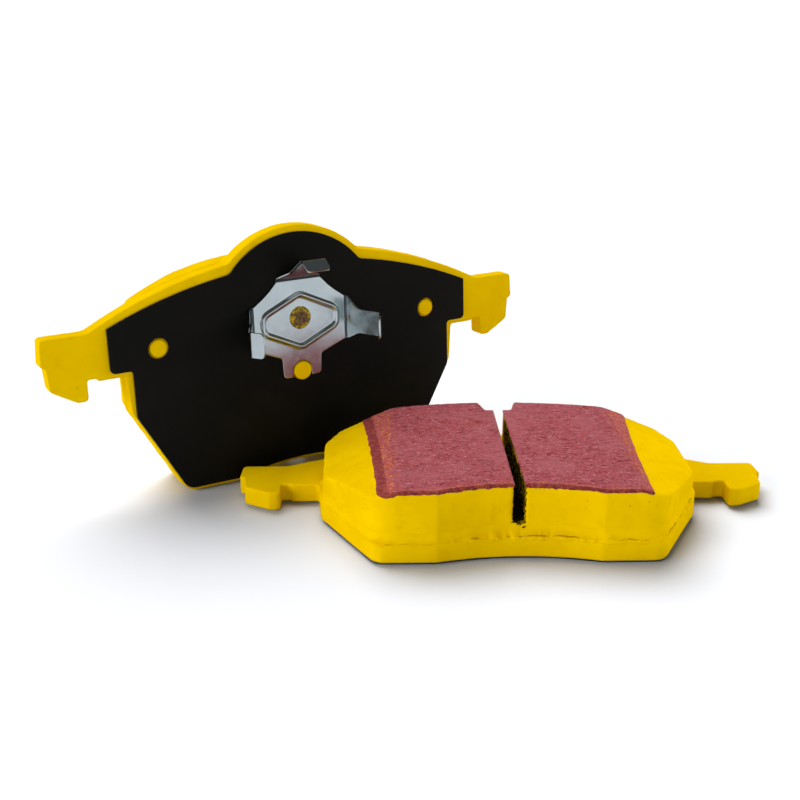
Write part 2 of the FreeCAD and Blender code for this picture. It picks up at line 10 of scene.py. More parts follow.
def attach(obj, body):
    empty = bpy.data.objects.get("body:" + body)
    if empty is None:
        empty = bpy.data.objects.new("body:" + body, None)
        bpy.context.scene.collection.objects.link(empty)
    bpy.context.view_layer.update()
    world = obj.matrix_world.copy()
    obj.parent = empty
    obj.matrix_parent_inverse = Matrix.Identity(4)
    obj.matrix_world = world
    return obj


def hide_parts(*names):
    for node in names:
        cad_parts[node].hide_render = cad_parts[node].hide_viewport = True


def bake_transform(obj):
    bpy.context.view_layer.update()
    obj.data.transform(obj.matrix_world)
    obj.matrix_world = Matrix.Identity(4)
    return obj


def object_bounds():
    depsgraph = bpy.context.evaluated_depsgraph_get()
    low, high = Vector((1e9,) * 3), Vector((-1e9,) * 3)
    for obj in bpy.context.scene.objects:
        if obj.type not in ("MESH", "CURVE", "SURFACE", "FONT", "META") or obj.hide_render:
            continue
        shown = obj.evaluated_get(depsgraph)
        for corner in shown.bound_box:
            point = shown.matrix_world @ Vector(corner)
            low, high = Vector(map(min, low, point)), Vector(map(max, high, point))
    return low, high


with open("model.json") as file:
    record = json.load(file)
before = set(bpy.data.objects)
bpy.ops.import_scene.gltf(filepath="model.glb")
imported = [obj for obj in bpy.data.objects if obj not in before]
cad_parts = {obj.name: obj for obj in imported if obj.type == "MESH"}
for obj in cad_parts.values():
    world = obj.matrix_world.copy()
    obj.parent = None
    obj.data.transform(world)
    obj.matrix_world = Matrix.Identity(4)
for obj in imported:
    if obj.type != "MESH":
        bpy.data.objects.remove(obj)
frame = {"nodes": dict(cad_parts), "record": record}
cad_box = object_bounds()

# A pair of disc brake pads. Meshes are worked out in millimetres in a pad frame: x along the
# pad, y from its lower edge up to its crown, z from the shim's outer face to the friction face.
MM = 0.001
PADS = ("outboard", "inboard")

# heights in the pad frame
SHEET = 0.7  # piston clip's sheet
SKIN = 0.25  # shim's rubber skin
PLATE_BACK = 0.9
PLATE_FRONT = 6.3
BLOCK_LOW = 7.8  # top of the underlayer
BLOCK_TOP = 20.7
COAT = 0.6

# places in the pad's plan
EAR_MIDDLE = 36.2  # middle of the ear hooks' inner walls, where the ear mounts are
PIP = (44.5, 45.5, 2.65)  # semi-pierced pips: x, y, radius
BOSS = (0.0, 32.0, 2.85)  # boss that the clip's fork straddles
RAMP_START, RAMP_END, RAMP_DROP = 32.4, 52.9, 6.4
SLOT_HALF = 1.55
BLOCK_ARC = (-58.8, 126.0)  # centre height and radius of the block's upper arc
BLOCK_FOOT, ARCH_HALF, ARCH_RISE = 0.96, 22.3, 4.2
FOOT_CORNER = (32.69, 9.5)  # start and radius of the rounding at the end of each foot
NOTCH = (3.9, 5.9, 60.6)  # half width at its floor and mouth, and its floor
COAT_END = {"left": (38.1, 41.6), "right": (35.2, 39.2)}  # near and far end of each coat
COAT_CORNER = {"left": 2.2, "right": 0.6}  # rounding of each coat's outer near corner
COAT_START = SLOT_HALF - 0.03  # where each coat begins, just over the slot's edge
COAT_DEPTH = 66.0  # from a coat's near edge to its far edge
COAT_COLUMNS, COAT_ROWS = 130, 220

# surface details
PIP_RISE, BOSS_RISE = 0.68, 0.45  # pips past the plate's back, boss past the clip
PLATE_EDGE_BACK, PLATE_EDGE_FRONT = 0.35, 0.45
SKIN_INSET = 0.04  # rubber skin, cut back from the steel core
SEAM_LEVEL, SEAM_TILT = 6.8, 0.0165  # middle height and slope of the moulding line
HUG_NEAR, HUG_FAR = 2.6, 3.4  # the layer hugs a plate margin under the first, none over the second
CRACK_DEPTH, CRACK_DARK = 0.50, 0.45  # the seam's crack, and the depth at which the crack's painted shade is darkest
GROOVE = 5  # ring of the layer's profile that lies in the crack
SPILL = {"outboard": 1.0, "inboard": 0.2}  # how lumpy and cracked the layer is
LAYER_SEED = {"outboard": 5, "inboard": 9}
BLOCK_SEED = {"outboard": 20, "inboard": 30}
COAT_SEED = {"outboard": 40, "inboard": 60}

# piston clip
CLIP_Y = 45.5
SIDE_ROOT, SIDE_REACH = 15.0, 21.4
TOP_ROOT, TOP_REACH = 60.3, 68.1
GRIP_HEIGHT, LEAD_HEIGHT, LEAD_BACK = 12.6, 3.9, 2.7
BEND, GRIP_BEND = 1.15, 1.6
BEAD = (47.7, 12.2, 8.3, 2.6)  # middle height, half width, half height, half height of its ends
BEAD_ROUND = 3.0
SIDE_EDGES, TOP_EDGES = (-5.5, 8.0), (-7.2, 7.2)  # a finger's edges at its root
LOW_TIP, HIGH_TIP = 3.4, 4.0  # and at its tip
ROOT_BLEND = (0.0, 1.2)  # stretch from the root over which a finger starts to bend
SCORE = 0.60  # from a finger's start to the thin scored line at its root
TIP_ROUND, TIP_THIN, EDGE_VEE = 1.3, 0.3, 0.13
BEAD_RISE, BEAD_SPACING = 0.75, 0.24
RIVET = (0.0, 48.6, 0.9)  # x, y and the head's rise
RIVET_SHANK, RIVET_BORE = 1.95, 2.0

MOUNTS = {m["name"]: m for m in frame["record"]["mounts"]}


def pad_matrix(pad):
    """The pad frame's place in the row frame, from the pad's own mounts."""
    left, right = (Vector(MOUNTS["%s_ear_%s" % (pad, side)]["pos_m"]) for side in ("left", "right"))
    x = (right - left).normalized()
    z = Vector(MOUNTS[pad + "_friction_face"]["axis"]).normalized()
    y = z.cross(x)
    middle = (PLATE_BACK + PLATE_FRONT) / 2
    origin = (left + right) / 2 - y * EAR_MIDDLE * MM - z * middle * MM
    rows = [[x[i], y[i], z[i], origin[i]] for i in range(3)]
    return Matrix(rows + [[0, 0, 0, 1]])


PLACES = {pad: pad_matrix(pad) for pad in PADS}


# ---------------- number work

BATCH = 2000  # points compared with a whole line at a time


def grain(points, size, seed=0):
    """Smooth noise from -1 to 1 at each point, with features of that size."""
    points = np.asarray(points, float)
    if points.shape[1] == 2:
        points = np.column_stack([points, np.zeros(len(points))])
    cell = points / np.asarray(size, float) + 4096.5
    low = np.floor(cell).astype(np.int64)
    part = cell - low
    part = part * part * (3 - 2 * part)
    total = np.zeros(len(points))
    for corner in range(8):
        step = np.array([corner & 1, corner >> 1 & 1, corner >> 2 & 1])
        key = (low + step) @ np.array([73856093, 19349663, 83492791]) + seed * 971
        key = ((key ^ (key >> 13)) * 1274126177) & 0xFFFFFFFF
        key = ((key ^ (key >> 15)) * 668265263) & 0xFFFFFFFF
        value = ((key ^ (key >> 16)) & 0xFFFF) / 32767.5 - 1
        total += value * np.prod(np.where(step, part, 1 - part), axis=1)
    return total


def grains(points, seed, *layers):
    """Sum of (amount, size) layers of grain, each with the next seed."""
    return sum(amount * grain(points, size, seed + i) for i, (amount, size) in enumerate(layers))


def smooth(value, low, high):
    """Eased step: 0 at low, 1 at high, clamped beyond them."""
    t = np.clip((np.asarray(value, float) - low) / (high - low), 0, 1)
    return t * t * (3 - 2 * t)


def area(loop):
    """Area that a loop holds, negative when it runs clockwise."""
    x, y = loop[:, 0], loop[:, 1]
    return 0.5 * float(np.sum(x * np.roll(y, -1) - np.roll(x, -1) * y))


def anticlockwise(loop):
    return loop if area(loop) > 0 else loop[::-1]


def resample(loop, step):
    """The closed loop again, with evenly spaced points."""
    closed = np.vstack([loop, loop[:1]])
    run = np.concatenate([[0], np.cumsum(np.linalg.norm(np.diff(closed, axis=0), axis=1))])
    count = max(12, int(round(run[-1] / step)))
    at = np.linspace(0, run[-1], count, endpoint=False)
    return np.column_stack([np.interp(at, run, closed[:, i]) for i in range(2)])


def outward(loop, passes=2):
    """Unit normals that point away from what an anticlockwise loop holds."""
    along = np.roll(loop, -1, 0) - np.roll(loop, 1, 0)
    normal = np.column_stack([along[:, 1], -along[:, 0]])
    for _ in range(passes):
        normal /= np.linalg.norm(normal, axis=1)[:, None]
        normal = normal * 2 + np.roll(normal, 1, 0) + np.roll(normal, -1, 0)
    return normal / np.linalg.norm(normal, axis=1)[:, None]


def circle(x, y, radius, count=40):
    turn = np.linspace(0, 2 * math.pi, count, endpoint=False)
    return np.column_stack([x + radius * np.cos(turn), y + radius * np.sin(turn)])


def inside(points, loops):
    """True for each point that an odd number of loops holds."""
    found = np.zeros(len(points), bool)
    for loop in loops:
        ax, ay = loop[:, 0], loop[:, 1]
        bx, by = np.roll(ax, -1), np.roll(ay, -1)
        rise = np.where(by == ay, 1e-12, by - ay)
        for start in range(0, len(points), BATCH):
            part = slice(start, start + BATCH)
            x, y = points[part, 0][:, None], points[part, 1][:, None]
            crosses = ((ay > y) != (by > y)) & (x < (bx - ax) * (y - ay) / rise + ax)
            found[part] ^= (crosses.sum(1) % 2).astype(bool)
    return found


def nearest(points, line):
    """Each point's distance to the closest point of the line."""
    best = np.empty(len(points))
    for start in range(0, len(points), BATCH):
        part = slice(start, start + BATCH)
        gap = points[part][:, None, :] - line[None, :, :]
        best[part] = np.sqrt((gap ** 2).sum(2).min(1))
    return best


def face_loops(node, pad, level):
    """Outlines of a CAD node's flat face at that height, the largest first."""
    mesh = frame["nodes"][node].data
    points = np.empty(len(mesh.vertices) * 3)
    mesh.vertices.foreach_get("co", points)
    back = np.array(PLACES[pad].inverted())
    points = (points.reshape(-1, 3) @ back[:3, :3].T + back[:3, 3]) / MM
    welded, index = np.unique(np.round(points, 3), axis=0, return_inverse=True)
    index = index.ravel()
    edges = set()
    for face in mesh.polygons:
        corners = [int(index[v]) for v in face.vertices]
        if all(abs(welded[c][2] - level) < 0.02 for c in corners):
            edges.update(zip(corners, corners[1:] + corners[:1]))
    after = {a: b for a, b in edges if (b, a) not in edges}
    loops = []
    while after:
        first, at = next(iter(sorted(after.items())))
        loop = [first]
        del after[first]
        while at != first:
            loop.append(at)
            at = after.pop(at)
        loops.append(welded[loop][:, :2])
    loops.sort(key=lambda loop: -abs(area(loop)))
    return loops


def outline(node, pad, level, step):
    """The outer outline of a CAD node's flat face, anticlockwise and evenly spaced."""
    return resample(anticlockwise(face_loops(node, pad, level)[0]), step)


# ---------------- mesh work

def placed(name, data):
    """A new object in the scene, with that data."""
    made = bpy.data.objects.new(name, data)
    bpy.context.scene.collection.objects.link(made)
    return made


TRIANGLE = 0.866  # height of a triangle whose sides are all 1
FLAT_SPACING = 6.0  # between the points inside a flat cap


class Shell:
    """A closed mesh under construction, in pad millimetres."""

    def __init__(self):
        self.points = []
        self.faces = []

    def ring(self, plan, height):
        """Adds a ring of points over a plan, at one height or a height for each."""
        return self.loop(np.column_stack([plan, np.broadcast_to(height, len(plan))]))

    def loop(self, points):
        """Adds a ring of points given in full."""
        first = len(self.points)
        self.points += [tuple(p) for p in points]
        return list(range(first, len(self.points)))

    def wall(self, rings):
        """Quads between rings that run the same way; the first ring is the lowest."""
        for low, high in zip(rings, rings[1:]):
            for i, a in enumerate(low):
                j = (i + 1) % len(low)
                self.faces.append((a, low[j], high[j], high[i]))

    def cap(self, rings, spacing, up=True, height=None):
        """Fills the region that the rings bound, with even points inside it."""
        plans = [np.array([self.points[i][:2] for i in ring]) for ring in rings]
        edge = np.vstack(plans)
        low, high = edge.min(0), edge.max(0)
        xs = np.arange(low[0], high[0], spacing)
        ys = np.arange(low[1], high[1], spacing * TRIANGLE)
        grid = np.array([(x + spacing * 0.5 * (row % 2), y) for row, y in enumerate(ys) for x in xs])
        grid = grid[inside(grid, plans)]
        grid = grid[nearest(grid, edge) > spacing * 0.55]
        flat = float(np.mean([self.points[i][2] for i in rings[0]]))
        first = len(self.points)
        z = np.full(len(grid), flat) if height is None else height(grid)
        self.points += [(x, y, h) for (x, y), h in zip(grid, z)]
        index = [i for ring in rings for i in ring] + list(range(first, len(self.points)))
        edges, at = [], 0
        for plan in plans:
            count = len(plan)
            edges += [(at + i, at + (i + 1) % count) for i in range(count)]
            at += count
        places = [Vector(p) for p in np.vstack([edge, grid])]
        verts, _, faces, back, _, _ = delaunay_2d_cdt(places, edges, [], 0, 1e-7)
        made = np.array([tuple(v) for v in verts])
        middle = np.array([made[list(face)].mean(0) for face in faces])
        known = [index[b[0]] if b else None for b in back]
        for i, at in enumerate(known):
            if at is None:
                known[i] = len(self.points)
                self.points.append((made[i][0], made[i][1], flat))
        for face, keep in zip(faces, inside(middle, plans)):
            if keep:
                corner = [known[i] for i in face]
                self.faces.append(tuple(corner) if up else tuple(corner[::-1]))

    def slab(self, loop, low, high, low_round, high_round, levels, bumps=None, low_holes=(), high_holes=()):
        """A plate with rounded edges. bumps(plan, height) gives how far its wall stands out."""
        normal = outward(loop)
        turns = np.linspace(0, math.pi / 2, 5)
        steps = [(low_round * (1 - math.sin(t)), low + low_round * (1 - math.cos(t))) for t in turns]
        inner = np.linspace(low + low_round, high - high_round, levels + 2)[1:-1]
        steps += [(0.0, z) for z in inner]
        steps += [(high_round * (1 - math.sin(t)), high - high_round * (1 - math.cos(t)))
                  for t in turns[::-1]]
        rings = []
        for inset, z in steps:
            out = 0 if bumps is None else bumps(loop, z)
            rings.append(self.ring(loop + normal * np.reshape(out - inset, (-1, 1)), z))
        self.wall(rings)
        self.cap([rings[0], *low_holes], FLAT_SPACING, up=False)
        self.cap([rings[-1], *high_holes], FLAT_SPACING)

    def post(self, spot, base, tip, edge, dome):
        """A round post that stands on a cap; gives the ring to leave open in that cap."""
        x, y, radius = spot
        up = tip > base
        sign = 1 if up else -1
        turns = np.linspace(0, math.pi / 2, 4)
        steps = [(0.0, base)] + [(edge * (1 - math.cos(t)), tip - sign * edge * (1 - math.sin(t)))
                                 for t in turns]
        rings = [self.ring(circle(x, y, radius - inset), z) for inset, z in steps]
        top = radius - edge
        for share in (0.75, 0.45):
            rise = sign * dome * (1 - share ** 2)
            rings.append(self.ring(circle(x, y, top * share), tip + rise))
        self.wall(rings if up else rings[::-1])
        self.cap([rings[-1]], 3.0, up=up)
        return rings[0]

    def bore(self, spot, low, high):
        """A round hole from cap to cap; gives the two rings to leave open in them."""
        rings = [self.ring(circle(*spot), z) for z in (low, high)]
        self.wall(rings[::-1])
        return rings

    def piece(self, node, look, material, slot, pad, **more):
        """The finished object, from the shell's points and faces."""
        mesh = bpy.data.meshes.new(node + look)
        mesh.from_pydata([(x * MM, y * MM, z * MM) for x, y, z in self.points], [], self.faces)
        return finished(node, look, mesh, material, slot, pad, **more)


def finished(node, look, mesh, material, slot, pad, sharp=40.0, body=None, blend=None):
    """An object from a mesh in pad metres, in place of a CAD node; it rides on its pad's body, or is baked
    into place when blend is given.
    """
    mesh.validate()
    mesh.materials.clear()
    mesh.materials.append(material)
    mesh.polygons.foreach_set("use_smooth", [True] * len(mesh.polygons))
    mesh.set_sharp_from_angle(angle=math.radians(sharp))
    made = placed(node + look, mesh)
    made.matrix_world = PLACES[pad]
    bpy.context.view_layer.update()
    if blend is None:
        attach(made, pad + "_pad")
    else:
        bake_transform(made)
    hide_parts(node)
    return made


def marked(made, name, values):
    """Gives the mesh a value at each vertex, for its material to read."""
    mark = made.data.attributes.new(name, "FLOAT", "POINT")
    mark.data.foreach_set("value", np.asarray(values, np.float32))


def remeshed(node, pad, size, smoothing):
    """A CAD node's shape as an even fine mesh with softened edges, in pad metres."""
    source = frame["nodes"][node].data.copy()
    source.transform(PLACES[pad].inverted())
    rough = placed("rough", source)
    remesh = rough.modifiers.new("remesh", "REMESH")
    remesh.mode = "VOXEL"
    remesh.voxel_size = size * MM
    soften = rough.modifiers.new("soften", "SMOOTH")
    soften.factor = 0.5
    soften.iterations = smoothing
    ready = rough.evaluated_get(bpy.context.evaluated_depsgraph_get())
    mesh = bpy.data.meshes.new_from_object(ready)
    bpy.data.objects.remove(rough)
    return mesh


def move_out(mesh, shift):
    """Moves each vertex along its normal by shift(points), both in millimetres."""
    count = len(mesh.vertices)
    points, normals = np.empty(count * 3), np.empty(count * 3)
    mesh.vertices.foreach_get("co", points)
    mesh.vertices.foreach_get("normal", normals)
    points, normals = points.reshape(-1, 3) / MM, normals.reshape(-1, 3)
    points = points + normals * shift(points)[:, None]
    mesh.vertices.foreach_set("co", (points * MM).ravel())
    mesh.update()


# ---------------- materials

def map_range(tree, value, low, high, to_low, to_high):
    """A node output that goes from to_low to to_high as value goes from low to high."""
    node = tree.nodes.new("ShaderNodeMapRange")
    node.interpolation_type = "SMOOTHSTEP"
    for key, number in zip(("From Min", "From Max", "To Min", "To Max"), (low, high, to_low, to_high)):
        node.inputs[key].default_value = number
    tree.links.new(value, node.inputs["Value"])
    return node.outputs["Result"]


class Nodes:
    """A Principled material built from a few kinds of node; sizes are in millimetres."""

    def __init__(self, name, **values):
        self.material = bpy.data.materials.new(name)
        self.material.use_nodes = True
        self.tree = self.material.node_tree
        self.shader = self.tree.nodes["Principled BSDF"]
        self.set(self.shader, values)
        self.place = self.add("TexCoord").outputs["Object"]

    def set(self, node, values):
        """Links a node's output to each named socket, or sets the socket to a value."""
        for key, value in values.items():
            socket = node.inputs[key.replace("_", " ") if isinstance(key, str) else key]
            if isinstance(value, bpy.types.NodeSocket):
                self.tree.links.new(value, socket)
            else:
                socket.default_value = value

    def add(self, kind, **values):
        node = self.tree.nodes.new("ShaderNode" + kind)
        self.set(node, values)
        return node

    def done(self, colour, rough, relief, **more):
        """The material, with what its nodes worked out."""
        self.set(self.shader, {"Base Color": colour, "Roughness": rough, "Normal": relief, **more})
        return self.material

    def scaled(self, scale):
        """Object coordinates, stretched by a different factor along each axis."""
        return self.add("Mapping", Vector=self.place, Scale=scale).outputs["Vector"]

    def noise(self, size, detail=3.0, rough=0.55, vector=None, twist=0.0):
        node = self.add("TexNoise", Vector=vector or self.place, Scale=1 / (size * MM), Detail=detail,
                        Roughness=rough, Distortion=twist)
        return node.outputs["Fac"]

    def cells(self, size):
        """Distance to the nearest of some scattered points."""
        return self.add("TexVoronoi", Vector=self.place, Scale=1 / (size * MM)).outputs["Distance"]

    def axis(self, name):
        """One object coordinate, in metres."""
        return self.add("SeparateXYZ", Vector=self.place).outputs[name]

    def attribute(self, name):
        """A value that marked() gave to the mesh."""
        node = self.add("Attribute")
        node.attribute_name = name
        return node.outputs["Fac"]

    def maths(self, kind, a, b=0.0):
        node = self.add("Math")
        node.operation = kind
        self.set(node, {0: a, 1: b})
        return node.outputs[0]

    def times(self, a, b):
        return self.maths("MULTIPLY", a, b)

    def span(self, value, low, high, to_low=0.0, to_high=1.0):
        """value from low..high to to_low..to_high, clamped and eased."""
        return map_range(self.tree, value, low, high, to_low, to_high)

    def mix(self, share, a, b):
        """Colour a where share is 0, b where it is 1. Sockets 6 and 7 are the colours."""
        node = self.add("Mix")
        node.data_type = "RGBA"
        a, b = (c if isinstance(c, bpy.types.NodeSocket) else (*c, 1.0) for c in (a, b))
        self.set(node, {0: share, 6: a, 7: b})
        return node.outputs[2]

    def relief(self, *layers):
        """Relief built up from layers, each a height from 0 to 1 and its depth."""
        below = None
        for height, depth in layers:
            node = self.add("Bump", Strength=1.0, Distance=depth * MM, Height=height)
            if below is not None:
                self.set(node, {"Normal": below})
            below = node.outputs["Normal"]
        return below


YELLOW, YELLOW_DEEP, YELLOW_PALE = (0.70, 0.440, 0.0), (0.62, 0.370, 0.0), (0.74, 0.475, 0.0)
YELLOW_GLOSS = (1.0, 0.72, 0.03, 1.0)
PIT_BROWN, BLOCK_PIT_BROWN = (0.30, 0.17, 0.004), (0.26, 0.15, 0.004)
CRACK_SHADE, CRACK_GLINT = (0.24, 0.135, 0.0), (0.86, 0.74, 0.22)


def yellow(n, broad_size, spots):
    """Mottled yellow: broad pale areas, and the deeper yellow where spots is above 0."""
    colour = n.mix(n.span(n.noise(broad_size, 2.0), 0.35, 0.65), YELLOW, YELLOW_PALE)
    return n.mix(spots, colour, YELLOW_DEEP)


def paint(name, speck, rough, cracked=False):
    """Yellow powder coat: soft orange peel, mottling, pits, and painted shade with painted glints in the
    crack along a seam.
    """
    n = Nodes(name, Metallic=0.12, Specular_IOR_Level=0.0, Specular_Tint=YELLOW_GLOSS)
    colour = yellow(n, 14.0, n.span(n.noise(5.0, 4.0, 0.6), 0.52, 0.75, 0.0, 0.4))
    pits = n.span(n.cells(2.6), 0.03, 0.10, 1.0, 0.0)
    rare = n.span(n.noise(6.0, 1.0), 0.56, 0.66)
    marks = n.times(n.times(pits, rare), speck)
    colour = n.mix(marks, colour, PIT_BROWN)
    if cracked:
        # painted shade in the seam's crack, darker where the crack is deeper, with painted glints scattered
        # along it
        crack_shading = n.attribute("crack_shading")
        crack_glints = n.times(crack_shading, n.span(n.noise(0.45, 2.0), 0.60, 0.66))
        colour = n.mix(n.times(crack_shading, 0.60), colour, CRACK_SHADE)
        colour = n.mix(crack_glints, colour, CRACK_GLINT)
    peel = n.relief((n.noise(1.6, 3.0), 0.05), (n.noise(0.45, 2.0), 0.014), (marks, -0.10))
    return n.done(colour, n.span(n.noise(3.0, 3.0), 0.3, 0.7, rough - 0.05, rough + 0.08), peel)


def bare_in_slot(n):
    """1 where the slot's walls are bare: down inside it, and not at its near and far end."""
    def torn(place, size, most):
        return n.maths("ADD", place, n.span(n.noise(size, 3.0, 0.7), 0.3, 0.7, -most * MM, most * MM))

    across = torn(n.maths("ABSOLUTE", n.axis("X")), 0.9, 0.3)
    in_slot = n.span(across, (SLOT_HALF + 0.05) * MM, (SLOT_HALF + 0.35) * MM, 1.0, 0.0)
    deep = n.span(torn(n.axis("Z"), 2.4, 1.2), (BLOCK_TOP - 1.2) * MM, (BLOCK_TOP + 0.5) * MM, 1.0, 0.0)
    along = torn(n.axis("Y"), 1.2, 0.6)
    past_near = n.span(along, 4.3 * MM, 5.2 * MM)
    before_far = n.span(along, 54.0 * MM, 60.0 * MM, 1.0, 0.0)
    return n.times(n.times(in_slot, past_near), n.times(before_far, deep))


def friction_paint():
    """Paint over the moulded block, thin and missing down inside the slot."""
    n = Nodes("PaintedFriction", Metallic=0.10, Specular_IOR_Level=0.0, Specular_Tint=YELLOW_GLOSS)
    colour = yellow(n, 11.0, n.span(n.noise(3.2, 4.0, 0.65), 0.50, 0.74, 0.0, 0.55))
    pits = n.span(n.cells(1.9), 0.04, 0.13, 1.0, 0.0)
    rare = n.span(n.noise(5.0, 1.5), 0.54, 0.64)
    marks = n.times(pits, rare)
    bare = bare_in_slot(n)
    spray = n.span(n.noise(0.8, 4.0, 0.75), 0.54, 0.70, 0.0, 0.45)
    raw = n.mix(spray, (0.004, 0.004, 0.002), (0.075, 0.055, 0.002))
    colour = n.mix(marks, colour, BLOCK_PIT_BROWN)
    colour = n.mix(bare, colour, raw)
    relief = n.relief((n.noise(1.7, 4.0, 0.6), 0.085), (n.noise(0.5, 2.0), 0.018), (marks, -0.14))
    satin = n.span(n.noise(3.0, 3.0), 0.3, 0.7, 0.36, 0.50)
    return n.done(colour, n.maths("MAXIMUM", satin, n.times(bare, 0.9)), relief)


RED_DEEP, RED_DUSTY, RED_PALE = (0.150, 0.018, 0.021), (0.30, 0.056, 0.064), (0.50, 0.25, 0.28)
RED_PATCH, RED_SCRAPED = (0.33, 0.105, 0.12), (0.36, 0.072, 0.062)
CHIP_ORANGE = (0.60, 0.185, 0.018)
SHADE_MAROON_DEEP, SHADE_MAROON_PALE = (0.125, 0.016, 0.019), (0.250, 0.045, 0.022)


def bedding():
    """Red bedding coat: matt, fibrous, streaked along the pad, chipped at its edges, and darkened along
    them as painted shade.
    """
    n = Nodes("RedBeddingCoat", Specular_IOR_Level=0.12)
    streak = n.noise(1.0, 4.0, 0.65, n.scaled((0.42, 1.5, 1.0)), twist=0.7)
    fibre = n.noise(1.0, 3.0, 0.65, n.scaled((0.9, 3.2, 1.0)), twist=1.2)
    patch = n.noise(15.0, 4.0, 0.6)
    crumbs = n.noise(0.8, 4.0, 0.75)
    worn = n.attribute("worn")
    colour = n.mix(n.span(streak, 0.38, 0.52), RED_DEEP, RED_DUSTY)
    colour = n.mix(n.span(fibre, 0.53, 0.66, 0.0, 0.85), colour, RED_PALE)
    colour = n.mix(n.span(patch, 0.42, 0.68, 0.0, 0.45), colour, RED_PATCH)
    scraped = n.times(worn, n.span(crumbs, 0.36, 0.60, 0.85, 0.0))
    colour = n.mix(scraped, colour, RED_SCRAPED)
    chips = n.times(worn, n.span(n.noise(0.85, 3.0, 0.7), 0.555, 0.615))
    colour = n.mix(chips, colour, CHIP_ORANGE)
    # painted shade: dark maroon along the coat's edges and the left end's band, standing in for the shade
    # on faces turned away from the light
    edge = n.times(n.attribute("edge"), n.span(crumbs, 0.52, 0.72, 1.0, 0.72))
    shade_maroon = n.mix(n.span(n.noise(1.3, 3.0, 0.65), 0.42, 0.60), SHADE_MAROON_DEEP, SHADE_MAROON_PALE)
    colour = n.mix(edge, colour, shade_maroon)
    relief = n.relief((streak, 0.16), (fibre, 0.10), (n.noise(0.40, 3.0, 0.7), 0.06))
    return n.done(colour, n.span(fibre, 0.3, 0.7, 0.78, 0.94), relief)


def rubber():
    """Black rubber skin of the shim: satin, faintly smudged and scuffed."""
    n = Nodes("BlackShimRubber", Specular_IOR_Level=0.07)
    smudge = n.noise(22.0, 4.0, 0.6)
    colour = n.mix(n.span(smudge, 0.4, 0.7), (0.0022, 0.0022, 0.0016), (0.0048, 0.0042, 0.0030))
    scuff = n.noise(1.0, 4.0, 0.7, n.scaled((0.25, 1.4, 1.0)), twist=1.5)
    colour = n.mix(n.span(scuff, 0.66, 0.82, 0.0, 0.35), colour, (0.014, 0.013, 0.011))
    relief = n.relief((n.noise(0.7, 3.0), 0.010), (smudge, 0.06))
    return n.done(colour, n.span(smudge, 0.35, 0.7, 0.44, 0.58), relief)


def core_steel():
    """Cold rolled steel of the shim, seen only along its cut edge."""
    n = Nodes("ShimSteel", Metallic=1.0)
    grain_lines = n.noise(1.0, 3.0, 0.6, n.scaled((0.5, 0.5, 6.0)))
    colour = n.mix(n.span(grain_lines, 0.35, 0.7), (0.07, 0.07, 0.065), (0.20, 0.20, 0.195))
    return n.done(colour, n.span(n.noise(2.0), 0.3, 0.7, 0.34, 0.5), n.relief((grain_lines, 0.02)))


def adhesive():
    """Dark bonding film under the shim."""
    n = Nodes("ShimAdhesive", Specular_IOR_Level=0.2)
    colour = n.mix(n.span(n.noise(1.5, 3.0), 0.35, 0.7), (0.018, 0.016, 0.012), (0.045, 0.04, 0.028))
    return n.done(colour, n.span(n.noise(2.0), 0.3, 0.7, 0.6, 0.8), n.relief((n.noise(0.6), 0.02)))


def zinc():
    """Bright zinc plate on spring steel, with a faint rolling grain and dull spots."""
    n = Nodes("ZincSpringSteel", Metallic=1.0)
    broad = n.noise(7.0, 3.0)
    grain_lines = n.noise(1.0, 3.0, 0.6, n.scaled((3.4, 0.35, 3.4)))
    colour = n.mix(n.span(broad, 0.35, 0.7), (0.385, 0.440, 0.450), (0.425, 0.480, 0.488))
    colour = n.mix(n.span(n.noise(1.1, 4.0, 0.7), 0.6, 0.8, 0.0, 0.18), colour, (0.30, 0.34, 0.35))
    # painted reflection: a dark line across each finger's root bend, standing in for the dark mirrored in
    # the concave bend
    colour = n.mix(n.times(n.attribute("root_dark_reflection"), 0.9), colour, (0.03, 0.035, 0.04))
    relief = n.relief((grain_lines, 0.003), (n.noise(0.5, 3.0, 0.65), 0.005))
    return n.done(colour, n.span(n.noise(2.2, 3.0), 0.3, 0.7, 0.15, 0.21), relief)


def rivet_finish():
    """Yellow passivated rivet, burnt brown and rough where the punch struck it."""
    n = Nodes("YellowRivet")
    blotch = n.noise(0.9, 4.0, 0.7)
    colour = n.mix(n.span(blotch, 0.44, 0.60), (0.13, 0.070, 0.014), (0.62, 0.44, 0.008))
    dark = n.times(n.attribute("struck"), n.span(blotch, 0.25, 0.7, 1.0, 0.7))
    colour = n.mix(dark, colour, (0.060, 0.030, 0.028))
    relief = n.relief((n.noise(0.6, 4.0, 0.7), 0.12))
    metal = n.span(n.noise(0.8, 3.0), 0.3, 0.7, 0.35, 0.7)
    return n.done(colour, n.span(blotch, 0.3, 0.7, 0.38, 0.62), relief, Metallic=metal)


PLATE_PAINT = paint("YellowPowderCoat", 0.75, 0.36)
LIP_PAINT = paint("PaintedUnderlayer", 1.0, 0.42, cracked=True)
BLOCK_PAINT = friction_paint()
RED_COAT = bedding()
BLACK_RUBBER = rubber()
SHIM_STEEL = core_steel()
FILM = adhesive()
ZINC = zinc()
RIVET_FINISH = rivet_finish()
ZINC_SLOT = "zinc_plated_spring_steel"


# ---------------- the pads

